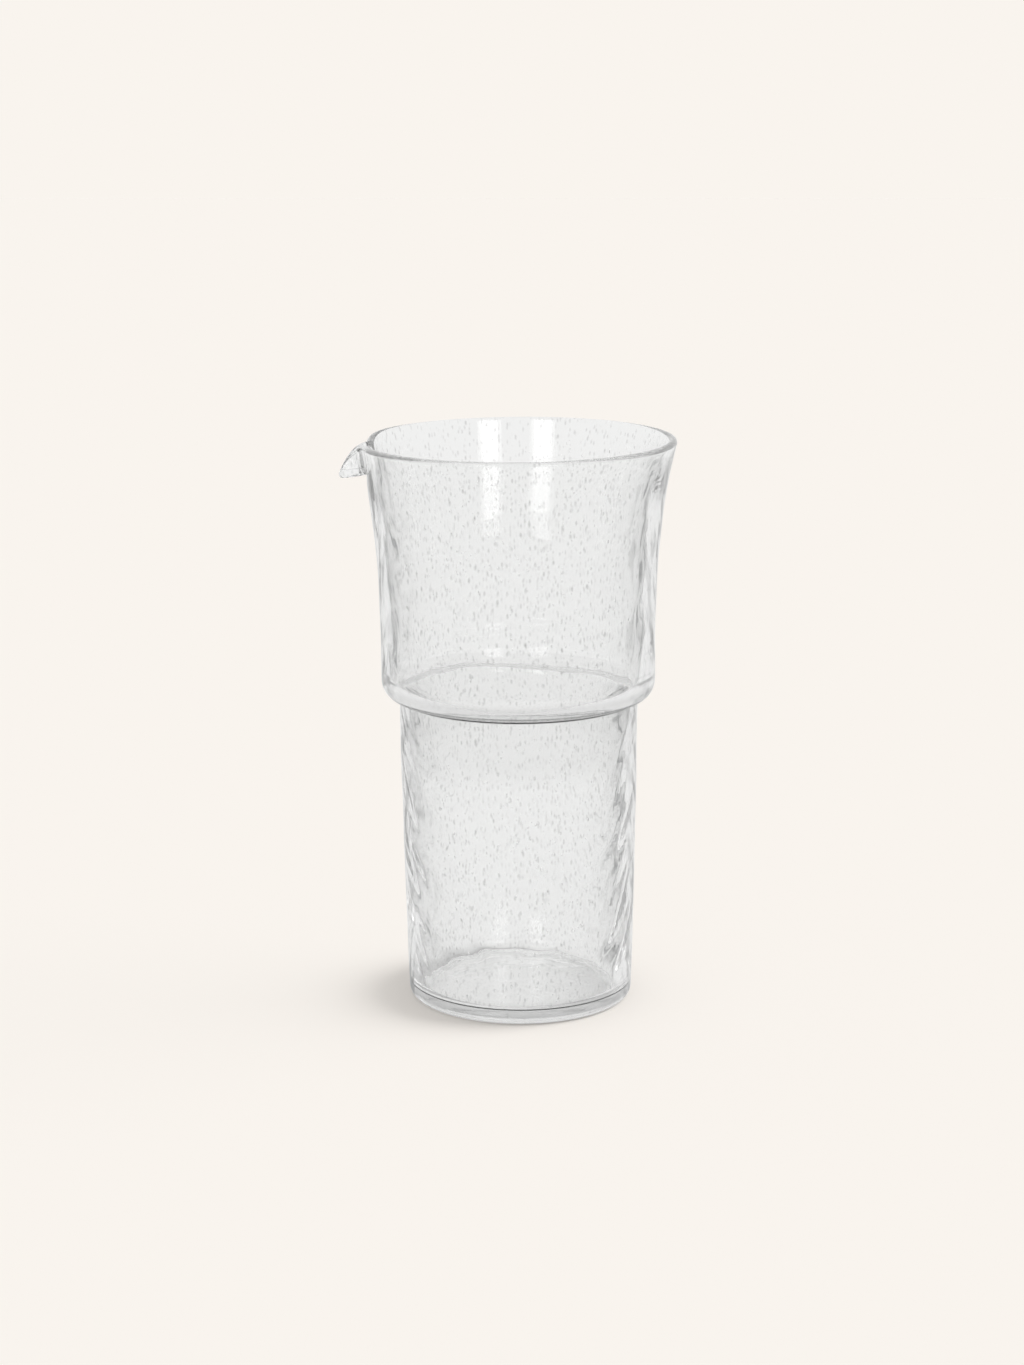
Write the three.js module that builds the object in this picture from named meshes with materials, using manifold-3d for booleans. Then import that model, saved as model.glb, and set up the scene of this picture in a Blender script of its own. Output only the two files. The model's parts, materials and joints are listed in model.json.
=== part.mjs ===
import * as THREE from 'three';
import { mergeVertices } from 'three/addons/utils/BufferGeometryUtils.js';
import Module from 'manifold-3d';

// Hand-blown stepped glass carafe, in millimetres, +Z up. The origin is the centre of the
// resting face and the spout points to -X. The real glass is one blown piece: the solids
// below are its natural forms, which meet face to face on flat seams.

// Base: a flat floor in a thick foot with a rounded heel
const baseRadius = 46.6; // outside, at the table
const heelRounding = 3.4; // between the resting face and the wall
const floorThickness = 4;
const floorCorner = 5; // rounding between floor and wall, inside

// Lower body: the slim grip below the step
const stepHeight = 128.3; // underside of the step above the table
const neckRadius = 49.2; // outside, just under the step
const lowerSwell = 0.3; // how far the wall swells past a straight taper
const footWall = 6.2; // wall at the table
const neckWall = 3.4; // wall at the step

// Step: the rounded shoulder that carries the bowl
const neckFillet = 1.2; // hollow corner under the step, outside
const shoulderRise = 7.2; // height of the rounding from the underside to the bowl's wall
const ledgeRise = 11.4; // height above the underside where the inside begins to draw in
const ledgeKnee = 3.2; // height above it where the inside draws in most
const ledgeDrop = 2; // depth below it where the inside has drawn in to the neck
const neckLead = 10; // plain neck below that, kept on the step's own solid

// Bowl: the flared upper half
const totalHeight = 235;
const bowlRadius = 56.4; // outside, above the step
const bowlWall = 4.6;
const rimRadius = 65; // outside
const rimFlare = 14.5; // degrees that the wall leans out at the rim
const rimWall = 3.4; // thickness of the fire-rounded rim
const lipTaper = 28; // height over which the wall thins to the rim

// Spout: the rim is pinched in, and a narrow tongue between is folded out and down
const pinchDepth = 3.6; // how far the rim is pressed towards the axis
const pinchSpread = 17; // degrees to each side over which the pinch fades
const pinchFade = 12; // height below the rim over which the pinch fades
const rimDip = 1.8; // how far the pinched rim sinks
const spoutReach = 11; // how far the fold carries the wall outwards at the tip
const spoutDrop = 10.6; // how far it carries it down there
const spoutFold = 9.6; // height of the rim that is folded out
const spoutHalfWidth = 5.6; // outside
const spoutWall = 2.4; // cheeks of the spout
const spoutMargin = 5; // plain wall kept around the spout on its own solid

// Curve exponents of the spout, which follow the drawn-out shape of soft glass
const tonguePower = 2.5; // how squarely the tongue stands out from the rim
const droopPower = 2.4; // how late along the tongue the droop sets in
const foldSoftness = 0.25; // rounding of the fold, as a share of its height

// Seams and resolution
const seamLead = 3; // plain wall left between a rounding and the next seam
const turnSegments = 56;
const rimSegments = 80;
const rimCrowding = 0.82; // how strongly the sections of the bowl gather at the spout
const bodyRows = 4;
const wallRows = 10;
const rimRows = 4;
const arcSteps = 3;

// Heights worked out from the sizes above
const baseSeam = floorThickness + floorCorner + seamLead;
const ledgeBottom = stepHeight - ledgeDrop;
const neckSeam = ledgeBottom - neckLead;
const bowlBottom = stepHeight + shoulderRise;
const ledgeTop = stepHeight + ledgeRise;
const bowlSeam = Math.max(bowlBottom, ledgeTop) + seamLead;
const rimLevel = totalHeight - rimWall / 2;

const { clamp, degToRad, lerp, smoothstep } = THREE.MathUtils;
const wasm = await Module();
wasm.setup();

// Outside of the lower body: a taper from base to neck with a slight swell between
function lowerOutside(z) {
  const t = z / stepHeight;
  return lerp(baseRadius, neckRadius, t) + 4 * lowerSwell * t * (1 - t);
}

// Inside of the lower body: the wall thins from the foot to the neck
function lowerInside(z) {
  return lowerOutside(z) - lerp(footWall, neckWall, z / stepHeight);
}

// Solid of revolution of an outline of radius and height, turned so that +Z is up
function turned(outline) {
  return new THREE.LatheGeometry(outline, turnSegments).rotateX(Math.PI / 2);
}

// Base: resting face, heel, wall up to the seam, and the dished floor inside
function makeBase() {
  const outline = new THREE.Path();
  outline.moveTo(0, 0);
  outline.lineTo(baseRadius - heelRounding, 0);
  outline.absarc(baseRadius - heelRounding, heelRounding, heelRounding, -Math.PI / 2, 0, false);
  outline.lineTo(lowerOutside(baseSeam), baseSeam);
  outline.lineTo(lowerInside(baseSeam), baseSeam);
  const cornerTop = floorThickness + floorCorner;
  const cornerCentre = lowerInside(cornerTop) - floorCorner;
  outline.absarc(cornerCentre, cornerTop, floorCorner, 0, -Math.PI / 2, true);
  outline.lineTo(0, floorThickness);
  return turned(outline.getPoints(arcSteps));
}

// Lower body: the tapered wall between the base and the step
function makeLowerBody() {
  const heights = Array.from({ length: bodyRows + 1 }, (_, i) => lerp(baseSeam, neckSeam, i / bodyRows));
  const outside = heights.map((z) => new THREE.Vector2(lowerOutside(z), z));
  const inside = heights.map((z) => new THREE.Vector2(lowerInside(z), z)).reverse();
  return turned([...outside, ...inside, outside[0]]);
}

// Step: outside a hollow corner and a quarter-round shoulder, inside a soft ledge on one S-curve
function makeStep() {
  const shoulderWidth = bowlRadius - neckRadius - neckFillet;
  const bowlInside = bowlRadius - bowlWall;
  const neckInside = lowerInside(ledgeBottom);
  const knee = stepHeight + ledgeKnee;
  const outline = new THREE.Path();
  outline.moveTo(lowerOutside(neckSeam), neckSeam);
  outline.lineTo(neckRadius, stepHeight - neckFillet);
  outline.quadraticCurveTo(neckRadius, stepHeight, neckRadius + neckFillet, stepHeight);
  outline.absellipse(
    neckRadius + neckFillet, bowlBottom, shoulderWidth, shoulderRise, -Math.PI / 2, 0, false, 0,
  );
  outline.lineTo(bowlRadius, bowlSeam);
  outline.lineTo(bowlInside, bowlSeam);
  outline.lineTo(bowlInside, ledgeTop);
  outline.bezierCurveTo(bowlInside, knee, neckInside, knee, neckInside, ledgeBottom);
  outline.lineTo(lowerInside(neckSeam), neckSeam);
  outline.closePath();
  return turned(outline.getPoints(arcSteps));
}

// Outside of the bowl at a depth below the rim: upright at the step, leaning out at the rim
function bowlOutside(depth) {
  const height = rimLevel - bowlSeam;
  const leanIn = Math.tan(degToRad(rimFlare)) * height / 3;
  const flare = new THREE.CubicBezierCurve(
    new THREE.Vector2(bowlRadius, bowlSeam),
    new THREE.Vector2(bowlRadius, bowlSeam + height / 3),
    new THREE.Vector2(rimRadius - leanIn, rimLevel - height / 3),
    new THREE.Vector2(rimRadius, rimLevel),
  );
  return flare.getPoint(1 - depth / height).x;
}

// Closed section of the bowl's wall. Each point is given from the middle of the wall, by how
// far it lies to the side and above, with its share of the way from outside to inside.
function bowlSection() {
  const height = rimLevel - bowlSeam;
  const depths = Array.from({ length: wallRows + 1 }, (_, i) => height * (i / wallRows) ** 2);
  const wallPoints = (side, share) => depths.map((depth) => {
    const wall = lerp(rimWall, bowlWall, smoothstep(depth, 0, lipTaper));
    const radius = bowlOutside(depth) - wall / 2;
    return { depth, radius, aside: side * wall / 2, above: 0, share };
  });
  const rimPoints = Array.from({ length: rimRows - 1 }, (_, i) => {
    const share = (i + 1) / rimRows;
    const aside = rimWall / 2 * Math.cos(Math.PI * share);
    const above = rimWall / 2 * Math.sin(Math.PI * share);
    return { depth: 0, radius: rimRadius - rimWall / 2, aside, above, share };
  });
  return [...wallPoints(1, 0).reverse(), ...rimPoints, ...wallPoints(-1, 1)];
}

// Places a point of the wall's section at an azimuth from the spout. The pinch presses the
// rim in, and the fold carries the tongue out and down and turns the wall's thickness with it.
function placeBowlPoint({ depth, radius, aside, above, share }, azimuth) {
  const spread = azimuth / degToRad(pinchSpread);
  const pinch = Math.exp(-(spread ** 2) - (depth / pinchFade) ** 2);
  const middle = radius - pinchDepth * pinch;
  const halfWidth = spoutHalfWidth - spoutWall * share;
  const tongue = Math.exp(-(Math.abs(middle * azimuth / halfWidth) ** tonguePower));
  const left = 1 - depth / spoutFold;
  const bend = clamp((left / foldSoftness + 1) / 2, 0, 1);
  const fold = bend < 1 ? foldSoftness * bend ** 2 : left;
  const steepness = bend / spoutFold;
  const out = spoutReach * tongue;
  const down = spoutDrop * tongue ** droopPower;
  const turn = Math.atan2(out * steepness, 1 - down * steepness);
  const outward = middle + aside * Math.cos(turn) + above * Math.sin(turn);
  const upward = above * Math.cos(turn) - aside * Math.sin(turn);
  return [
    -(outward * Math.cos(azimuth) + out * fold),
    -outward * Math.sin(azimuth),
    rimLevel - depth - rimDip * pinch - down * fold + upward,
  ];
}

// Loft of the bowl's section around the axis, with the sections gathered at the spout
function loftBowl() {
  const section = bowlSection();
  const positions = [];
  const triangles = [];
  for (let i = 0; i < rimSegments; i += 1) {
    const angle = 2 * Math.PI * (i / rimSegments - 0.5);
    const azimuth = angle - rimCrowding * Math.sin(angle);
    const nextRing = (i + 1) % rimSegments;
    section.forEach((point, j) => {
      const next = (j + 1) % section.length;
      const a = i * section.length + j;
      const b = nextRing * section.length + j;
      const c = nextRing * section.length + next;
      const d = i * section.length + next;
      positions.push(...placeBowlPoint(point, azimuth));
      triangles.push(a, b, d, b, c, d);
    });
  }
  const geometry = new THREE.BufferGeometry();
  geometry.setAttribute('position', new THREE.Float32BufferAttribute(positions, 3));
  geometry.setIndex(triangles);
  return geometry;
}

function solidOf(geometry) {
  const bare = geometry.clone();
  bare.deleteAttribute('normal');
  bare.deleteAttribute('uv');
  const merged = mergeVertices(bare);
  return new wasm.Manifold(new wasm.Mesh({
    numProp: 3,
    vertProperties: new Float32Array(merged.attributes.position.array),
    triVerts: new Uint32Array(merged.index.array),
  }));
}

function geometryOf(solid) {
  const { vertProperties, triVerts } = solid.getMesh();
  const geometry = new THREE.BufferGeometry();
  geometry.setAttribute('position', new THREE.BufferAttribute(vertProperties, 3));
  geometry.setIndex(new THREE.BufferAttribute(triVerts, 1));
  geometry.computeVertexNormals();
  return geometry;
}

// Block around the spout, whose flat sides divide it from the bowl
function spoutBlock() {
  const depth = rimWall / 2 + rimDip + spoutFold + spoutMargin;
  const width = 2 * (spoutHalfWidth + spoutMargin);
  const length = rimRadius + spoutReach + spoutMargin;
  const block = new THREE.BoxGeometry(length, width, 2 * depth);
  return block.translate(-length / 2, 0, totalHeight);
}

// Clear glass with a faint grey-green cast
function makeGlass() {
  return new THREE.MeshStandardMaterial({ color: 0xe6ebe9, roughness: 0.06, metalness: 0 });
}

const carafe = new THREE.Group();
carafe.name = 'glass_carafe';

function addPiece(name, geometry) {
  const piece = new THREE.Mesh(geometry, makeGlass());
  piece.name = name;
  carafe.add(piece);
}

const wholeBowl = solidOf(loftBowl());
const block = solidOf(spoutBlock());
addPiece('base', makeBase());
addPiece('lower_body', makeLowerBody());
addPiece('step_shoulder', makeStep());
addPiece('upper_bowl', geometryOf(wholeBowl.subtract(block)));
addPiece('pouring_spout', geometryOf(wholeBowl.intersect(block)));

export default carafe;
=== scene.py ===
import itertools
import json
import math
import bpy
import numpy as np
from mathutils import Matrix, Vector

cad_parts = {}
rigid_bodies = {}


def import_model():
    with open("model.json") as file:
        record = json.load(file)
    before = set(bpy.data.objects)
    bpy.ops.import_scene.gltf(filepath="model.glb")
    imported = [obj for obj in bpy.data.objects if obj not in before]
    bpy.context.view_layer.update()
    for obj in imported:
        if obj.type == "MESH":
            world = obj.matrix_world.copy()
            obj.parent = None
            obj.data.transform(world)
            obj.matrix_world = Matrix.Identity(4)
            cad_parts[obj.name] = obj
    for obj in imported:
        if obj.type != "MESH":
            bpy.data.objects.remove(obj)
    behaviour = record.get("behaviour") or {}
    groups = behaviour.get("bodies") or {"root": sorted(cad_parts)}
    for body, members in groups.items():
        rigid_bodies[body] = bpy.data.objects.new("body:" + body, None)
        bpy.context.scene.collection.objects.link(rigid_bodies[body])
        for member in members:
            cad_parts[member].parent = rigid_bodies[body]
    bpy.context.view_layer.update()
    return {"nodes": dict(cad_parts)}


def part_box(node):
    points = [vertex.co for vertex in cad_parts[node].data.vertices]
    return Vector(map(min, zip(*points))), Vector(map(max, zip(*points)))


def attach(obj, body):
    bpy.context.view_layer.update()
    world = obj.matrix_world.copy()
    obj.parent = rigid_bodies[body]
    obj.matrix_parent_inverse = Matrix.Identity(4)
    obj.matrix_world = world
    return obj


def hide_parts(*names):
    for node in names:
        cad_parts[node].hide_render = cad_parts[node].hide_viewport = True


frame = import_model()
print("frame loaded:", len(frame["nodes"]), "solids")

scene = bpy.context.scene
scene.view_settings.view_transform = "Standard"
lightBounces = 64  # light runs far along the inside of thick glass
scene.cycles.max_bounces = lightBounces
scene.cycles.transmission_bounces = lightBounces
scene.cycles.glossy_bounces = lightBounces
mm = 0.001

# Carafe sizes in millimetres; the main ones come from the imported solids
carafe = {
    "height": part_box("upper_bowl")[1].z / mm,
    "rimRadius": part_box("upper_bowl")[1].x / mm,
    "bowlRadius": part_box("step_shoulder")[1].x / mm,
    "bowlSeam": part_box("upper_bowl")[0].z / mm,
    "neckSeam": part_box("lower_body")[1].z / mm,
    "baseRadius": 46.6,
    "heelRounding": 3.4,
    "pushUp": 1.1,  # hollow in the middle of the underside
    "pushEdge": 0.93,  # share of the foot's radius where the hollow begins
    "pushSlope": 0.5,  # share of it over which the hollow rises
    "floorThickness": 4.0,
    "floorCorner": 5.0,
    "floorDome": 0.5,  # rise of the floor's middle, inside
    "neckRadius": 49.2,
    "lowerSwell": 0.3,
    "footWall": 6.2,
    "neckWall": 3.4,
    "neckFillet": 1.2,
    "shoulderRise": 7.2,
    "neckLead": 10.0,  # from the seam of the lower body up to the end of the ledge
    "ledgeRise": 11.4,  # from the step up to where the inside begins to draw in
    "ledgeKnee": 3.2,  # from the step up to where it draws in most
    "ledgeDrop": 2.0,  # from the step down to where it has drawn in
    "bowlWall": 4.6,
    "rimFlare": 14.5,  # degrees
    "rimWall": 3.4,
    "lipTaper": 28.0,
    "lean": 1.7,  # how far the rim stands off to the spout's side
    "rimTilt": 0.5,  # degrees that the rim sinks towards the spout
    "rimSag": 1.1,  # how far the rim's front sinks
    "innerShift": 0.5,  # how far the inside stands off to the spout's side
    "columns": 256,
    "crowding": 0.72,  # how strongly the columns gather at the spout
    "rowCrowding": 1.6,  # how strongly the bowl's rows gather at the rim
}
rowCounts = {  # rows of the section on each stretch
    "underside": 14,
    "heel": 12,
    "foot": 24,
    "lowerOut": 44,
    "neck": 12,
    "shoulder": 36,
    "bowl": 60,
    "rim": 14,
    "ledge": 32,
    "lowerIn": 52,
    "corner": 14,
    "floor": 16,
}
spout = {
    "pinchDepth": 3.6,  # how far the rim is pressed in
    "pinchSpread": 17.0,  # degrees
    "pinchFade": 12.0,  # mm down over which the pinch fades
    "rimDip": 1.8,
    "reach": 11.0,  # how far the tongue is carried out
    "drop": 10.6,  # and down
    "fold": 9.6,  # mm below the rim where the fold begins
    "halfWidth": 5.6,
    "wall": 2.4,  # by which the channel inside is narrower
    "tonguePower": 2.5,
    "droopPower": 2.4,
    "softness": 0.25,  # share of the fold over which it sets in
}
broadRipple = {
    "height": 0.07,  # of the hand-worked ripple inside the bowl, in mm
    "waves": 24,
    "around": (0, 5),  # crests around the carafe
    "pitch": (24.0, 60.0),  # mm between crests along the wall
    "drape": (30.0, 80.0),  # mm that a crest runs down from side to front
    "seed": 11,
}
fineRipple = {
    "height": 0.14,  # of the shorter ripple inside the lower body
    "waves": 24,
    "around": (-12, 13),
    "pitch": (13.0, 34.0),
    "drape": (35.0, 70.0),
    "seed": 23,
}
outerRipple = {
    "height": 0.05,  # of the slow ripple outside
    "waves": 16,
    "around": (1, 6),
    "pitch": (25.0, 60.0),
    "drape": (0.0, 20.0),
    "seed": 31,
}
ledgeRipple = {
    "height": 0.4,  # by which the ledge's back inside the step rises and falls
    "waves": 12,
    "around": (6, 20),
    "pitch": (200.0, 400.0),
    "drape": (0.0, 1.0),
    "seed": 47,
}
calm = {
    "front": 0.3,  # share of the lower body's ripple at its front and back
    "rim": 45.0,  # mm below the rim where the ripple has set in
    "foot": 9.0,  # mm above the floor's rounded corner where it has set in
    "neck": 14.0,  # mm below the ledge where its rise and fall has ended
    "ledge": 1.6,  # how many times sooner than the ledge's end its rise and fall has set in
    "back": 0.5,  # how far round to the front the ledge's rise and fall reaches
    "blendTop": 10.0,  # mm above the step where the lower body's ripple begins
    "blendSpan": 30.0,  # mm down over which it takes over from the bowl's
}

c = carafe  # short name for the formulas
stepHeight = c["neckSeam"] + c["neckLead"] + c["ledgeDrop"]
bowlBottom = stepHeight + c["shoulderRise"]
ledgeTop = stepHeight + c["ledgeRise"]
ledgeBottom = stepHeight - c["ledgeDrop"]
rimLevel = c["height"] - c["rimWall"] / 2
bowlInside = c["bowlRadius"] - c["bowlWall"]


def smooth(x):  # 0 to 1 with level ends
    t = np.clip(x, 0, 1)
    return t * t * (3 - 2 * t)


def steps(count, first=False):  # even steps from 0 to 1, with or without the first
    return np.linspace(0, 1, count + 1)[0 if first else 1:]


def lowerOutside(z):  # straight taper from base to neck plus a parabola's swell
    t = z / stepHeight
    return c["baseRadius"] + (c["neckRadius"] - c["baseRadius"]) * t + 4 * c["lowerSwell"] * t * (1 - t)


def lowerInside(z):  # the outside less a wall that thins towards the neck
    return lowerOutside(z) - (c["footWall"] + (c["neckWall"] - c["footWall"]) * z / stepHeight)


def bowlOutside(z):  # cubic curve in the height, upright at the seam and leaning out at the rim
    height = rimLevel - c["bowlSeam"]
    t = np.clip((z - c["bowlSeam"]) / height, 0, 1)
    nearRim = c["rimRadius"] - math.tan(math.radians(c["rimFlare"])) * height / 3
    return (c["bowlRadius"] * ((1 - t) ** 3 + 3 * t * (1 - t) ** 2)
            + 3 * nearRim * t * t * (1 - t) + c["rimRadius"] * t ** 3)


def stretch(radius, height, aside=0.0, above=0.0, share=0.0, sway=0.0, heave=0.0):
    # rows of the section: middle of the wall, offsets from it, 0 outside to 1 inside, ripple weights
    return np.stack(np.broadcast_arrays(*[np.asarray(v, float) for v in (
        radius, height, aside, above, share, sway, heave)]), axis=1)


def curve(points, t):  # points weighted by binomial * t^i * (1 - t)^(order - i), from the first to the last
    order = len(points) - 1
    weights = [math.comb(order, i) * t ** i * (1 - t) ** (order - i) for i in range(order + 1)]
    return sum(w * p[0] for w, p in zip(weights, points)), sum(w * p[1] for w, p in zip(weights, points))


def bowlRows(z, side, share):
    # rows of the bowl's wall: its middle and half the wall to one side, thinner at the lip and calm near it
    wall = c["rimWall"] + (c["bowlWall"] - c["rimWall"]) * smooth((rimLevel - z) / c["lipTaper"])
    settled = smooth((rimLevel - z) / calm["rim"])
    return stretch(bowlOutside(z) - wall / 2, z, side * wall / 2, share=share, sway=settled)


def carafeSection():
    # closed section from the underside's middle, up the outside, over the rim and down to the floor
    footRadius = c["baseRadius"] - c["heelRounding"]
    r = footRadius * steps(rowCounts["underside"])
    hollow = smooth((footRadius * c["pushEdge"] - r) / (footRadius * c["pushSlope"]))
    underside = stretch(r, c["pushUp"] * hollow)
    a = steps(rowCounts["heel"]) * math.pi / 2
    heel = stretch(footRadius + c["heelRounding"] * np.sin(a), c["heelRounding"] * (1 - np.cos(a)))
    footTop = 2 * c["floorThickness"]
    z = np.concatenate([c["heelRounding"] + (footTop - c["heelRounding"]) * steps(rowCounts["foot"]),
                        footTop + (stepHeight - c["neckFillet"] - footTop) * steps(rowCounts["lowerOut"])])
    lowerOut = stretch(lowerOutside(z), z, sway=1)
    neck = stretch(*curve([(c["neckRadius"], stepHeight - c["neckFillet"]), (c["neckRadius"], stepHeight),
                           (c["neckRadius"] + c["neckFillet"], stepHeight)], steps(rowCounts["neck"])))
    a = steps(rowCounts["shoulder"]) * math.pi / 2
    shoulder = stretch(c["neckRadius"] + c["neckFillet"]
                       + (c["bowlRadius"] - c["neckRadius"] - c["neckFillet"]) * np.sin(a),
                       bowlBottom - c["shoulderRise"] * np.cos(a))
    z = rimLevel - (rimLevel - bowlBottom) * (1 - steps(rowCounts["bowl"])) ** c["rowCrowding"]
    bowlOut = bowlRows(z, 1, 0)
    share = steps(rowCounts["rim"])[:-1]
    rim = stretch(c["rimRadius"] - c["rimWall"] / 2, rimLevel, c["rimWall"] / 2 * np.cos(math.pi * share),
                  c["rimWall"] / 2 * np.sin(math.pi * share), share)
    z = rimLevel - (rimLevel - ledgeTop) * steps(rowCounts["bowl"], True) ** c["rowCrowding"]
    bowlIn = bowlRows(z, -1, 1)
    knee = stepHeight + c["ledgeKnee"]
    low = lowerInside(ledgeBottom)
    along = steps(rowCounts["ledge"])
    ledge = stretch(*curve([(bowlInside, ledgeTop), (bowlInside, knee), (low, knee), (low, ledgeBottom)],
                           along), share=1, sway=1, heave=smooth(calm["ledge"] * along))
    cornerTop = c["floorThickness"] + c["floorCorner"]
    z = ledgeBottom + (cornerTop - ledgeBottom) * steps(rowCounts["lowerIn"])
    lowerIn = stretch(lowerInside(z), z, share=1, sway=smooth((z - cornerTop) / calm["foot"]),
                      heave=1 - smooth((ledgeBottom - z) / calm["neck"]))
    a = steps(rowCounts["corner"]) * math.pi / 2
    corner = stretch(lowerInside(cornerTop) - c["floorCorner"] * (1 - np.cos(a)),
                     cornerTop - c["floorCorner"] * np.sin(a), share=1)
    r = (lowerInside(cornerTop) - c["floorCorner"]) * (1 - steps(rowCounts["floor"]))[:-1]
    floor = stretch(r, c["floorThickness"] + c["floorDome"] * smooth(1 - r / r[0]), share=1)
    return np.vstack([underside, heel, lowerOut, neck, shoulder, bowlOut, rim, bowlIn, ledge, lowerIn, corner,
                      floor])


def softWaves(azimuth, height, ripple):
    # field of slow ripples: sum of cos(m * azimuth + k * (height + d * sin(azimuth)) + p) with whole
    # numbers m; d drapes the crests, which then run down towards the front
    draw = np.random.default_rng(ripple["seed"])
    count = ripple["waves"]
    m = draw.integers(*ripple["around"], count)[:, None, None]
    k = (2 * math.pi / draw.uniform(*ripple["pitch"], count) * draw.choice([-1, 1], count))[:, None, None]
    p = draw.uniform(0, 2 * math.pi, count)[:, None, None]
    d = draw.uniform(*ripple["drape"], count)[:, None, None]
    field = np.cos(m * azimuth + k * (height + d * np.sin(azimuth)) + p).sum(axis=0)
    return field * math.sqrt(2 / count) * ripple["height"]


def placeOnCarafe(section, azimuth):
    # section turned round the axis; the pinch presses the rim in by a bell curve, and the fold
    # carries the tongue of the spout out and down and turns the wall's thickness with it
    radius, height, aside, above, share, sway, heave = [v[:, None] for v in section.T]
    azimuth = azimuth[None, :]
    low = smooth((stepHeight + calm["blendTop"] - height) / calm["blendSpan"])
    sides = calm["front"] + (1 - calm["front"]) * np.cos(azimuth) ** 2
    fine = softWaves(azimuth, height, fineRipple) * sides
    inner = softWaves(azimuth, height, broadRipple) * (1 - low) + fine * low
    wave = np.where(share > 0.5, inner, softWaves(azimuth, height, outerRipple))
    depth = rimLevel - height
    pinch = np.exp(-(azimuth / math.radians(spout["pinchSpread"])) ** 2 - (depth / spout["pinchFade"]) ** 2)
    middle = radius - spout["pinchDepth"] * pinch
    halfWidth = spout["halfWidth"] - spout["wall"] * share
    tongue = np.exp(-np.abs(middle * azimuth / halfWidth) ** spout["tonguePower"])
    left = 1 - depth / spout["fold"]
    bend = np.clip((left / spout["softness"] + 1) / 2, 0, 1)
    fold = np.where(bend < 1, spout["softness"] * bend ** 2, left)
    steepness = bend / spout["fold"]
    out = spout["reach"] * tongue
    down = spout["drop"] * tongue ** spout["droopPower"]
    turn = np.arctan2(out * steepness, 1 - down * steepness)
    outward = middle + aside * np.cos(turn) + above * np.sin(turn) + wave * sway
    back = smooth(calm["back"] - np.sin(azimuth))
    heaved = softWaves(azimuth, height, ledgeRipple) * heave * back
    upward = above * np.cos(turn) - aside * np.sin(turn) + heaved
    x = -(outward * np.cos(azimuth) + out * fold) - c["innerShift"] * share * smooth(depth / c["lipTaper"])
    y = -outward * np.sin(azimuth)
    z = height - spout["rimDip"] * pinch - down * fold + upward
    return np.stack([x, y, z], axis=-1)


def settle(points):
    # the hand-made lean, from millimetres to metres: x shifts with the height, and by the height's cube
    # the rim sinks on the spout's side and at the front
    rise = points[..., 2:] / c["height"]
    leaned = points + rise * np.array([-c["lean"], 0, 0])
    front = (1 - points[..., 1:2] / c["rimRadius"]) / 2
    sink = math.tan(math.radians(c["rimTilt"])) * points[..., :1] - c["rimSag"] * front
    leaned[..., 2:] += sink * np.clip(rise, 0, 1) ** 3
    return leaned * mm


def meshPiece(name, points, loops, starts, material):
    # object at the origin from arrays of points, corner indices and each face's first corner
    mesh = bpy.data.meshes.new(name)
    mesh.vertices.add(len(points))
    mesh.vertices.foreach_set("co", np.asarray(points, np.float32).ravel())
    mesh.loops.add(len(loops))
    mesh.loops.foreach_set("vertex_index", np.asarray(loops, np.int32))
    mesh.polygons.add(len(starts))
    mesh.polygons.foreach_set("loop_start", np.asarray(starts, np.int32))
    mesh.polygons.foreach_set("use_smooth", np.ones(len(starts), bool))
    mesh.update(calc_edges=True)
    mesh.validate()
    mesh.materials.append(material)
    piece = bpy.data.objects.new(name, mesh)
    scene.collection.objects.link(piece)
    return piece


def gridFaces(rows, columns):
    # quads between neighbouring rows of a ring of columns, wound to face out
    i, j = np.meshgrid(np.arange(rows - 1), np.arange(columns), indexing="ij")
    k = (j + 1) % columns
    return np.stack([i * columns + j, i * columns + k, (i + 1) * columns + k, (i + 1) * columns + j],
                    axis=-1).reshape(-1, 4)


def facesOf(*groups):  # corner list and face starts from arrays of equal-sided faces
    loops = np.concatenate([g.ravel() for g in groups])
    sides = np.concatenate([np.full(len(g), g.shape[1]) for g in groups])
    return loops, np.concatenate([[0], np.cumsum(sides)[:-1]])


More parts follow.
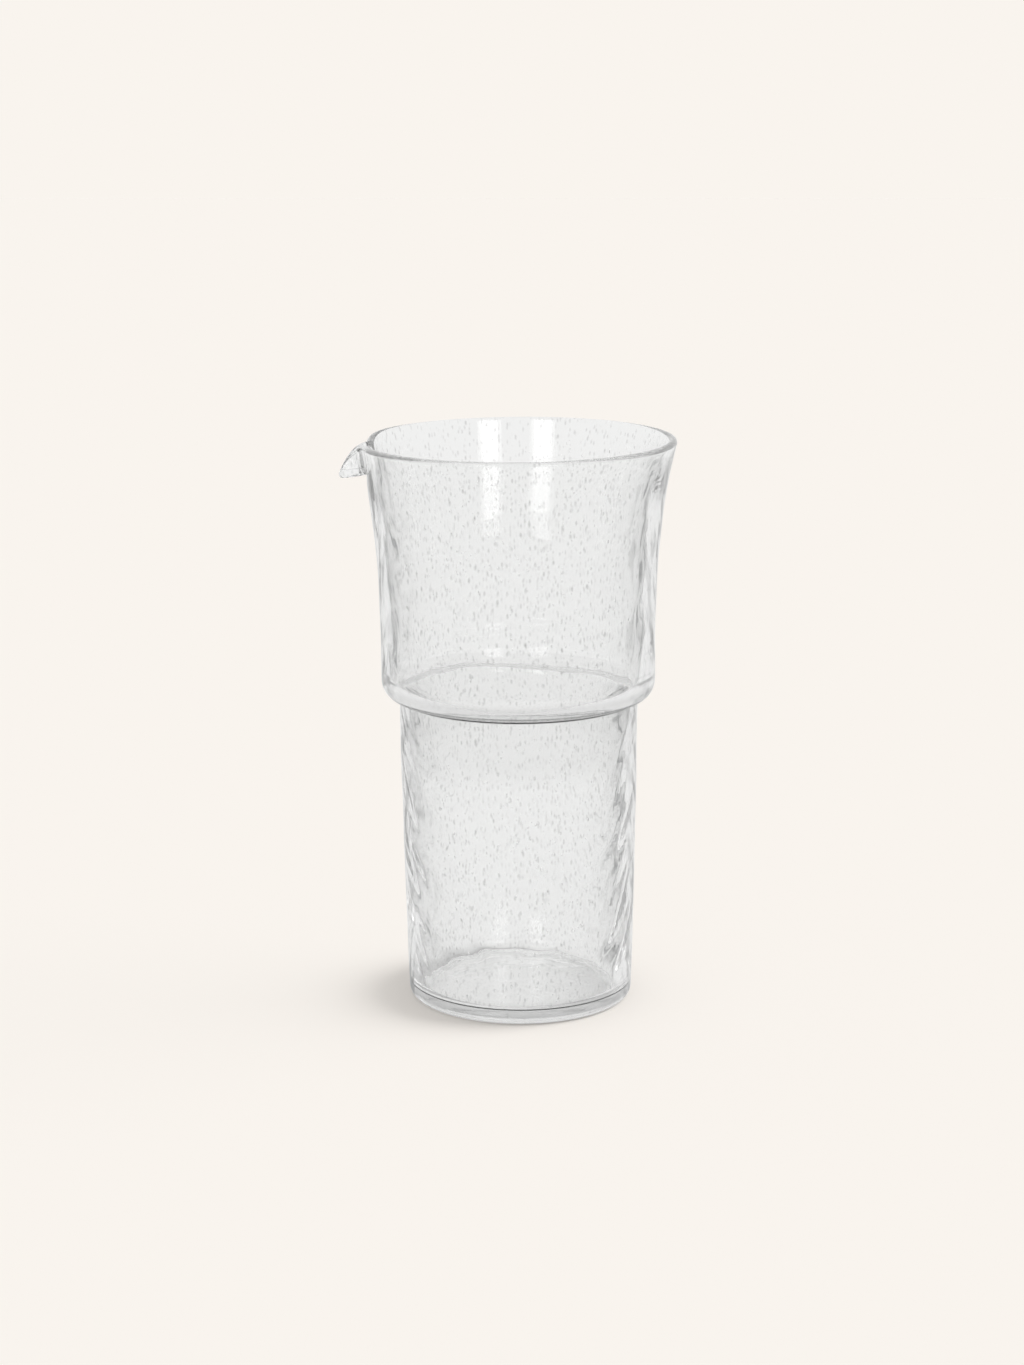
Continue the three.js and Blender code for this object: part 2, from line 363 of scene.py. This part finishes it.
# Glass
glass = {
    "tint": (0.968, 0.970, 0.968),
    "paintedEdgeShade": (0.04, 0.042, 0.044),  # painted shade where the wall is met at a grazing angle, for the dark lines that refraction draws there
    "edgePower": 4.5,
    "broadPower": 2,  # for what spreads wider over the sides
    "uprightPower": 4,  # how soon a row that isn't upright loses the painted edge shade
    "edgeOutside": 0.5,  # share of the painted edge shade on the outside
    "lipClear": 14.0,  # mm below the rim where the painted edge shade has set in
    "sideTint": 0.36,  # share of it that spreads over the wall's sides as broad painted shade
    "strokeScale": 220.0,  # slanting strokes in which the painted edge shade is paler or deeper
    "strokeDetail": 2,
    "strokeSlant": 24.0,  # degrees
    "strokeLength": 4.2,  # over their width
    "strokeRange": (0.48, 0.64),  # noise values from the palest to the deepest
    "strokeDepth": (0.5, 5.0),
    "footHeights": (3.1, 3.4, 6.5, 6.7, 7.1, 7.25),  # mm up the thick foot
    "footShade": (0.12, 0.60, 0.46, 1.0, 1.0, 0.0),  # how much painted shade darkens it there, with a painted dark line at the floor
    "floorShade": 0.09,  # how much painted shade darkens the floor
    "floorMargin": 0.1,  # mm above its dome that still count as floor
    "neckShade": 0.12,  # how much painted shade darkens the wall below the step
    "neckSpan": (98.0, 110.0),  # mm up where that sets in
    "stepHeights": (-1.1, -0.9, -0.2, 0.2, 1.4, 1.7, 2.1, 2.4, 6.0, 8.0),  # mm up from the step
    "stepShade": (0.0, 1.0, 1.0, 0.25, 0.25, 0.7, 0.7, 0.28, 0.28, 0.0),  # painted shade in the hollow corner and a painted dark line above it
    "brinkHeights": (-0.1, 0.0, 1.0, 3.0),  # mm up from the step
    "brinkShade": (0, 1, 1, 0),
    "ior": 1.5,
    "roughness": (0.0, 0.03),  # clean to faintly hazed
    "absorb": (0.66, 0.66, 0.66),
    "density": 2.2,  # per metre
    "hazeRange": (0.55, 0.85),  # noise values from clean to hazed
    "streakScale": 38.0,
    "streakDetail": 3,
    "streakDrawn": 0.35,  # streaks run up the wall
    "streakBump": 0.0008,  # metres
    "bumpStrength": 0.3,
    "speckScale": 560.0,
    "speckDrawn": 0.45,  # specks stand upright
    "speckTint": (0.59, 0.59, 0.59),
    "speckShare": 0.75,  # share of the cells that hold a speck
    "speckSize": (0.12, 0.40),  # from full to gone, in cells
    "holdHeights": (11.0, 22.0),  # mm up between which the foot's outside stops holding light back
    "footPasses": 0.51,  # share of the light that passes below
    "wallPasses": 0.99,
}


def mathNode(tree, operation, first, second):  # a Math node from sockets or plain numbers
    node = tree.nodes.new("ShaderNodeMath")
    node.operation = operation
    for socket, value in zip(node.inputs, (first, second)):
        if isinstance(value, bpy.types.NodeSocket):
            tree.links.new(value, socket)
        else:
            socket.default_value = value
    return node.outputs[0]


def mixNode(tree, factor, first, second):  # a colour Mix node from sockets or plain colours
    node = tree.nodes.new("ShaderNodeMix")
    node.data_type = "RGBA"
    tree.links.new(factor, node.inputs["Factor"])
    for name, value in (("A", first), ("B", second)):
        if isinstance(value, bpy.types.NodeSocket):
            tree.links.new(value, node.inputs[name])
        else:
            node.inputs[name].default_value = (*value, 1)
    return node.outputs["Result"]


def rangeNode(tree, value, span, result, kind="LINEAR"):  # carries a value from one span over to another
    node = tree.nodes.new("ShaderNodeMapRange")
    node.interpolation_type = kind
    for name, number in zip(("From Min", "From Max", "To Min", "To Max"), (*span, *result)):
        node.inputs[name].default_value = number
    tree.links.new(value, node.inputs["Value"])
    return node.outputs["Result"]


def attributeNode(tree, name):  # a share that is stored on the mesh's points
    node = tree.nodes.new("ShaderNodeAttribute")
    node.attribute_name = name
    return node.outputs["Fac"]


def placeNode(tree, kind, drawn, slant=0.0):  # place on the object, turned about x and drawn out along z
    place = tree.nodes.new("ShaderNodeTexCoord")
    node = tree.nodes.new("ShaderNodeMapping")
    node.vector_type = kind
    node.inputs["Rotation"].default_value = (math.radians(slant), 0, 0)
    node.inputs["Scale"].default_value = (1, 1, drawn)
    tree.links.new(place.outputs["Object"], node.inputs["Vector"])
    return node.outputs["Vector"]


def noiseNode(tree, place, scale, detail):  # cloudy pattern from 0 to 1
    node = tree.nodes.new("ShaderNodeTexNoise")
    node.inputs["Scale"].default_value = scale
    node.inputs["Detail"].default_value = detail
    tree.links.new(place, node.inputs["Vector"])
    return node.outputs["Fac"]


def makeGlass(name):  # clear glass that lets all light in
    material = bpy.data.materials.new(name)
    material.use_nodes = True
    shader = material.node_tree.nodes["Principled BSDF"]
    shader.inputs["Base Color"].default_value = (1, 1, 1, 1)
    shader.inputs["Transmission Weight"].default_value = 1
    shader.inputs["IOR"].default_value = glass["ior"]
    shader.inputs["Roughness"].default_value = glass["roughness"][0]
    return material


def speckedTint(tree):
    # tint with upright specks: each fades out from its cell's middle and is as strong as the cell's lot
    cells = tree.nodes.new("ShaderNodeTexVoronoi")
    cells.inputs["Scale"].default_value = glass["speckScale"]
    tree.links.new(placeNode(tree, "POINT", glass["speckDrawn"]), cells.inputs["Vector"])
    lot = tree.nodes.new("ShaderNodeSeparateColor")
    tree.links.new(cells.outputs["Color"], lot.inputs[0])
    spot = rangeNode(tree, cells.outputs["Distance"], glass["speckSize"], (1, 0), "SMOOTHSTEP")
    held = rangeNode(tree, lot.outputs[0], (1 - glass["speckShare"], 1), (0, 1))
    return mixNode(tree, mathNode(tree, "MULTIPLY", spot, held), glass["tint"], glass["speckTint"])


def paintedShadeRows(tree, broad):
    # share of black: the rows' painted shade plus the brink's at a slant, only from outside the glass
    seen = tree.nodes.new("ShaderNodeNewGeometry")
    front = mathNode(tree, "SUBTRACT", 1, seen.outputs["Backfacing"])
    contour = mathNode(tree, "MULTIPLY", attributeNode(tree, "brink"), broad)
    deep = mathNode(tree, "ADD", attributeNode(tree, "dark"), contour)
    return mathNode(tree, "MULTIPLY", deep, front)


def paintedEdgeShade(tree, facing, broad):
    # share of the painted edge shade: a high power of facing times the strokes, plus the broad spread, times
    # the rows'
    place = placeNode(tree, "TEXTURE", glass["strokeLength"], glass["strokeSlant"])
    strokes = noiseNode(tree, place, glass["strokeScale"], glass["strokeDetail"])
    depth = rangeNode(tree, strokes, glass["strokeRange"], glass["strokeDepth"], "SMOOTHSTEP")
    grazing = mathNode(tree, "POWER", facing, glass["edgePower"])
    worked = mathNode(tree, "MULTIPLY", grazing, depth)
    # broad painted shade over the wall's sides
    spread = mathNode(tree, "MULTIPLY", broad, glass["sideTint"])
    both = mathNode(tree, "ADD", worked, spread)
    return mathNode(tree, "MULTIPLY", both, attributeNode(tree, "edge"))


def streakWall(tree, shader):
    # cloudy streaks: they haze the surface where they are strong and raise it a little
    place = placeNode(tree, "POINT", glass["streakDrawn"])
    streaks = noiseNode(tree, place, glass["streakScale"], glass["streakDetail"])
    haze = rangeNode(tree, streaks, glass["hazeRange"], glass["roughness"])
    bump = tree.nodes.new("ShaderNodeBump")
    bump.inputs["Strength"].default_value = glass["bumpStrength"]
    bump.inputs["Distance"].default_value = glass["streakBump"]
    tree.links.new(haze, shader.inputs["Roughness"])
    tree.links.new(streaks, bump.inputs["Height"])
    tree.links.new(bump.outputs["Normal"], shader.inputs["Normal"])


def tintAndShadeWall(material):
    # wall of the carafe: specked tint, rows darkened by painted shade, painted shade at grazing angles,
    # streaks and absorption
    tree = material.node_tree
    shader = tree.nodes["Principled BSDF"]
    weight = tree.nodes.new("ShaderNodeLayerWeight")
    facing = weight.outputs["Facing"]
    broad = mathNode(tree, "POWER", facing, glass["broadPower"])
    # the rows' painted shade darkens the specked tint
    shaded = mixNode(tree, paintedShadeRows(tree, broad), speckedTint(tree), (0, 0, 0))
    # painted shade at grazing angles goes over it
    tintedAndShaded = mixNode(tree, paintedEdgeShade(tree, facing, broad), shaded, glass["paintedEdgeShade"])
    tree.links.new(tintedAndShaded, shader.inputs["Base Color"])
    streakWall(tree, shader)
    inside = tree.nodes.new("ShaderNodeVolumeAbsorption")
    inside.inputs["Color"].default_value = (*glass["absorb"], 1)
    inside.inputs["Density"].default_value = glass["density"]
    tree.links.new(inside.outputs["Volume"], tree.nodes["Material Output"].inputs["Volume"])


def letLampsThrough(material):
    # lamps and the floor's fill pass straight through the thin walls and are held back by the thick foot
    tree = material.node_tree
    passed = rangeNode(tree, attributeNode(tree, "hold"), (0, 1), (glass["wallPasses"], glass["footPasses"]))
    clear = tree.nodes.new("ShaderNodeBsdfTransparent")
    rays = tree.nodes.new("ShaderNodeLightPath")
    lit = mathNode(tree, "MAXIMUM", rays.outputs["Is Shadow Ray"], rays.outputs["Is Diffuse Ray"])
    mix = tree.nodes.new("ShaderNodeMixShader")
    tree.links.new(passed, clear.inputs["Color"])
    tree.links.new(lit, mix.inputs["Fac"])
    tree.links.new(tree.nodes["Principled BSDF"].outputs[0], mix.inputs[1])
    tree.links.new(clear.outputs[0], mix.inputs[2])
    tree.links.new(mix.outputs[0], tree.nodes["Material Output"].inputs["Surface"])


seededGlass = makeGlass("seededGlass")
tintAndShadeWall(seededGlass)
letLampsThrough(seededGlass)
seedGlass = makeGlass("seedGlass")
letLampsThrough(seedGlass)


def edgeShare(section):
    # how far each row takes the painted edge shade: full on the upright inner wall, less outside, none on
    # flat rows
    run = np.gradient(section[:, 0] + section[:, 2])
    rise = np.gradient(section[:, 1] + section[:, 3])
    upright = rise ** 2 / (run ** 2 + rise ** 2)
    lip = smooth((rimLevel - section[:, 1]) / glass["lipClear"])
    side = glass["edgeOutside"] + (1 - glass["edgeOutside"]) * section[:, 4]
    return upright ** glass["uprightPower"] * lip * side


def paintedShadeShare(section):
    # how much painted shade darkens each row's glass: the thick foot, the floor, the wall below the step and
    # its hollow corner
    radius, height, inner = section[:, 0], section[:, 1], section[:, 4]
    foot = np.interp(height, glass["footHeights"], glass["footShade"])
    foot *= (inner == 0) & (radius > c["baseRadius"] - c["heelRounding"])
    neck = smooth((height - glass["neckSpan"][0]) / (glass["neckSpan"][1] - glass["neckSpan"][0]))
    neck *= height <= bowlBottom
    step = np.interp(height - stepHeight, glass["stepHeights"], glass["stepShade"])
    step *= inner == 0
    floor = (inner == 1) & (height < c["floorThickness"] + c["floorDome"] + glass["floorMargin"])
    return np.maximum.reduce([foot, glass["neckShade"] * neck, step, glass["floorShade"] * floor])


def brinkShare(section):  # the shoulder's turned-in edge, darkened by painted shade where it is met at a grazing angle
    above = section[:, 1] - stepHeight
    return np.interp(above, glass["brinkHeights"], glass["brinkShade"]) * (section[:, 4] == 0)


def holdShare(section):  # how far each row keeps lamps from the floor: the thick foot's outside
    outside = (section[:, 4] == 0) & (section[:, 0] > c["baseRadius"] - c["heelRounding"])
    return np.interp(section[:, 1], glass["holdHeights"], (1, 0)) * outside


def makeBody():
    # section carried round a ring of columns, azimuth = angle - crowding * sin(angle), closed by two poles
    section = carafeSection()
    angle = 2 * math.pi * (np.arange(c["columns"]) / c["columns"] - 0.5)
    azimuth = angle - c["crowding"] * np.sin(angle)
    grid = placeOnCarafe(section, azimuth)
    rows, columns = grid.shape[:2]
    poles = np.array([[0, 0, c["pushUp"]], [-c["innerShift"], 0, c["floorThickness"] + c["floorDome"]]])
    points = settle(np.vstack([grid.reshape(-1, 3), poles]))
    j = np.arange(columns)
    k = (j + 1) % columns
    last = (rows - 1) * columns
    under = np.stack([np.full(columns, rows * columns), k, j], axis=1)
    floor = np.stack([np.full(columns, rows * columns + 1), last + j, last + k], axis=1)
    loops, starts = facesOf(gridFaces(rows, columns), under, floor)
    piece = meshPiece("glass_body", points, loops, starts, seededGlass)
    # dark and brink carry painted shade; edge says how far the painted edge shade reaches
    shares = {"edge": edgeShare(section), "dark": paintedShadeShare(section), "brink": brinkShare(section),
              "hold": holdShare(section)}
    for name, share in shares.items():
        values = np.concatenate([np.repeat(share, columns), [0, 0]]).astype(np.float32)
        piece.data.attributes.new(name, "FLOAT", "POINT").data.foreach_set("value", values)
    return piece


body = makeBody()
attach(body, "root")
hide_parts("base", "lower_body", "step_shoulder", "upper_bowl", "pouring_spout")
print("glass body:", len(body.data.polygons), "faces")

# Air seeds: small drawn-out bubbles caught in the wall
seeds = {
    "count": 3000,
    "floorCount": 140,
    "radius": 0.165,  # median, in mm
    "spread": 0.42,  # of the logarithm
    "limits": (0.1, 0.4),
    "drawn": (1.2, 3.0),  # length over width
    "flat": 0.55,  # depth over width
    "heights": (7.0, 226.0),
    "depth": (0.25, 0.75),  # share of the wall
    "spoutClear": 0.26,  # radians left free beside the spout
    "stepClear": 8.0,  # mm left free above and below the step
    "wallShare": 0.16,  # largest radius as a share of the wall
    "wallCounted": 6.0,  # mm of the wall that count for that
    "floorLimits": (0.15, 0.6),
    "floorMargin": 1.2,  # mm of glass over and under the floor's seeds
    "sides": 8,
    "rings": 3,
    "seed": 5,
}


def seedShape():
    # unit ball of a few rings and two poles, wound inwards because a seed is a hole in the glass
    sides, rings = seeds["sides"], seeds["rings"]
    polar = math.pi * np.arange(1, rings + 1)[:, None] / (rings + 1)
    turn = 2 * math.pi * np.arange(sides)[None, :] / sides
    ring = np.stack([np.sin(polar) * np.cos(turn), np.sin(polar) * np.sin(turn), np.cos(polar) + 0 * turn],
                    axis=-1)
    points = np.vstack([ring.reshape(-1, 3), [[0, 0, 1], [0, 0, -1]]])
    j = np.arange(sides)
    k = (j + 1) % sides
    last = (rings - 1) * sides
    top = np.stack([np.full(sides, rings * sides), k, j], axis=1)
    bottom = np.stack([np.full(sides, rings * sides + 1), last + j, last + k], axis=1)
    return points, gridFaces(rings, sides), np.vstack([top, bottom])


def seedSizes(draw, count, limits):
    # radii whose logarithm follows a bell curve about the median's, cut at the limits
    return np.clip(seeds["radius"] * np.exp(seeds["spread"] * draw.normal(size=count)), *limits)


def wallSeeds(draw):
    # random azimuths and heights, a random share of the way through the wall there, and upright axes
    section = carafeSection()
    outside = section[(section[:, 4] == 0) & (section[:, 1] > c["heelRounding"])]
    inside = section[section[:, 4] == 1][::-1]
    count = seeds["count"]
    azimuth = draw.uniform(-math.pi, math.pi, count)
    height = draw.uniform(*seeds["heights"], count)
    outer = np.interp(height, outside[:, 1], outside[:, 0] + outside[:, 2])
    inner = np.interp(height, inside[:, 1], inside[:, 0] + inside[:, 2])
    wall = outer - inner
    radius = inner + wall * draw.uniform(*seeds["depth"], count)
    size = seedSizes(draw, count, seeds["limits"])
    size = np.minimum(size, seeds["wallShare"] * np.minimum(wall, seeds["wallCounted"]))
    drawn = draw.uniform(*seeds["drawn"], count)
    clear = ~((np.abs(azimuth) < seeds["spoutClear"]) & (height > rimLevel - 2 * spout["fold"]))
    clear &= np.abs(height - stepHeight) > seeds["stepClear"]
    outward = np.stack([-np.cos(azimuth), -np.sin(azimuth), 0 * azimuth], axis=1)
    along = np.stack([-np.sin(azimuth), np.cos(azimuth), 0 * azimuth], axis=1)
    places = (radius[:, None] * outward + height[:, None] * [0, 0, 1])[clear]
    axes = np.stack([along, outward * seeds["flat"], drawn[:, None] * [0, 0, 1]], axis=1)[clear]
    return places, axes * size[clear][:, None, None]


def floorSeeds(draw):
    # even spread over the floor's disc: its radius times the root of a random share, with flat round axes
    count = seeds["floorCount"]
    spread = (lowerInside(0) - c["floorCorner"]) * np.sqrt(draw.uniform(0, 1, count))
    angle = draw.uniform(-math.pi, math.pi, count)
    margin = seeds["floorMargin"]
    level = draw.uniform(c["pushUp"] + margin, c["floorThickness"] - margin, count)
    size = seedSizes(draw, count, seeds["floorLimits"])
    places = np.stack([spread * np.cos(angle), spread * np.sin(angle), level], axis=1)
    return places, size[:, None, None] * np.diag([1, 1, seeds["flat"]])


def makeSeeds():  # the ball's points carried to every place by its three axes
    draw = np.random.default_rng(seeds["seed"])
    wallPlaces, wallAxes = wallSeeds(draw)
    floorPlaces, floorAxes = floorSeeds(draw)
    places = np.vstack([wallPlaces, floorPlaces])
    axes = np.vstack([wallAxes, floorAxes])
    shape, quads, ends = seedShape()
    points = settle((places[:, None, :] + np.einsum("pk,nkx->npx", shape, axes)).reshape(-1, 3))
    first = (np.arange(len(places)) * len(shape))[:, None, None]
    loops, starts = facesOf((first + quads).reshape(-1, 4), (first + ends).reshape(-1, 3))
    return meshPiece("air_seeds", points, loops, starts, seedGlass)


bubbles = makeSeeds()
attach(bubbles, "root")
print("air seeds:", len(bubbles.data.polygons), "faces")

# Studio: pale floor and world, tall soft boxes on both sides of the camera, a soft key from the right
studio = {
    "backdrop": (0.947, 0.905, 0.855),
    "floorSize": 12.0,
    "fill": 0.42,  # share of the floor's light that comes from all round; the key gives the rest
    "keyAngle": 46.0,  # degrees across
    "keyHeight": 34.0,  # degrees up
    "keyTurn": 9.0,  # degrees behind the carafe's right side
    "boxes": ((0.40, 1.4), (0.60, 1.1)),  # width in metres and radiance; the two overlap to a soft edge
    "boxTall": 1.2,  # metres
    "boxDistance": 1.6,
    "boxAzimuth": 22.0,  # degrees to either side of the camera
    "boxBottom": 0.14,
    "boxGap": 0.1,  # share of its width by which a box stands further away
    "throughGlass": (0.905, 0.905, 0.9),  # floor and backdrop, as glass sees them
}


def seenColour(tree):  # the pale backdrop, and its neutral tone where glass shows it
    rays = tree.nodes.new("ShaderNodeLightPath")
    glassy = mathNode(tree, "MAXIMUM", rays.outputs["Is Transmission Ray"], rays.outputs["Is Glossy Ray"])
    return mixNode(tree, glassy, studio["backdrop"], studio["throughGlass"])


def makeFloor():  # one square face about the origin, matt and in the backdrop's tone
    half = studio["floorSize"] / 2
    corners = np.array([(-1, -1, 0), (1, -1, 0), (1, 1, 0), (-1, 1, 0)]) * half
    material = bpy.data.materials.new("paleFloor")
    material.use_nodes = True
    tree = material.node_tree
    shader = tree.nodes["Principled BSDF"]
    tree.links.new(seenColour(tree), shader.inputs["Base Color"])
    shader.inputs["Roughness"].default_value = 1
    shader.inputs["Specular IOR Level"].default_value = 0
    return meshPiece("floor", corners, [0, 1, 2, 3], [0], material)


def makeWorld():  # even fill from all round, which the camera and the glass see as the backdrop
    world = bpy.data.worlds.new("studio")
    scene.world = world
    world.use_nodes = True
    tree = world.node_tree
    shown = tree.nodes["Background"]
    tree.links.new(seenColour(tree), shown.inputs["Color"])
    light = tree.nodes.new("ShaderNodeBackground")
    light.inputs["Color"].default_value = (1, 1, 1, 1)
    light.inputs["Strength"].default_value = studio["fill"]
    rays = tree.nodes.new("ShaderNodeLightPath")
    direct = mathNode(tree, "MAXIMUM", rays.outputs["Is Camera Ray"], rays.outputs["Is Glossy Ray"])
    looked = mathNode(tree, "MAXIMUM", direct, rays.outputs["Is Transmission Ray"])
    mix = tree.nodes.new("ShaderNodeMixShader")
    tree.links.new(looked, mix.inputs["Fac"])
    tree.links.new(light.outputs[0], mix.inputs[1])
    tree.links.new(shown.outputs[0], mix.inputs[2])
    tree.links.new(mix.outputs[0], tree.nodes["World Output"].inputs["Surface"])


def addLamp(name, kind, **settings):  # a lamp of one kind with its settings
    data = bpy.data.lights.new(name, kind)
    for key, value in settings.items():
        setattr(data, key, value)
    lamp = bpy.data.objects.new(name, data)
    scene.collection.objects.link(lamp)
    return lamp


def aim(thing, place, target):  # stands at a place and looks at a target
    thing.location = place
    direction = np.asarray(target, float) - np.asarray(place, float)
    flat = math.hypot(direction[0], direction[1])
    thing.rotation_euler = (math.atan2(flat, -direction[2]), 0, math.atan2(-direction[0], direction[1]))


def makeLights():
    # the key as a broad sun that gives the floor what the fill leaves, and a pair of boxes on either side,
    # whose power is radiance * pi * area
    up, turn = math.radians(studio["keyHeight"]), math.radians(studio["keyTurn"])
    strength = (1 - studio["fill"]) * math.pi / math.sin(up)  # so that the floor gets 1 in all
    key = addLamp("key", "SUN", energy=strength, angle=math.radians(studio["keyAngle"]))
    aim(key, (math.cos(up) * math.cos(turn), math.cos(up) * math.sin(turn), math.sin(up)), (0, 0, 0))
    key.visible_glossy = False  # only the soft boxes show in the glass
    key.visible_transmission = False
    middle = studio["boxBottom"] + studio["boxTall"] / 2
    for side, (width, radiance) in itertools.product((-1, 1), studio["boxes"]):
        turn = math.radians(side * studio["boxAzimuth"])
        power = radiance * math.pi * width * studio["boxTall"]
        box = addLamp("softBox", "AREA", shape="RECTANGLE", size=width, size_y=studio["boxTall"],
                      energy=power)
        away = studio["boxDistance"] + studio["boxGap"] * width  # the wider one stands behind
        aim(box, (away * math.sin(turn), -away * math.cos(turn), middle), (0, 0, middle))
        box.visible_diffuse = False  # the floor's light stays even


floor = makeFloor()
makeWorld()
makeLights()
print("studio lit")

# Camera: fitted to the rim and base ellipses of the photographed view
view = {
    "place": (-0.0036, -1.1514, 0.3938),  # metres
    "pitch": 12.762,  # degrees down
    "lens": 75.37,
}
camera = bpy.data.objects.new("camera", bpy.data.cameras.new("camera"))
scene.collection.objects.link(camera)
camera.location = view["place"]
camera.rotation_euler = (math.radians(90 - view["pitch"]), 0, 0)
camera.data.lens = view["lens"]
scene.camera = camera
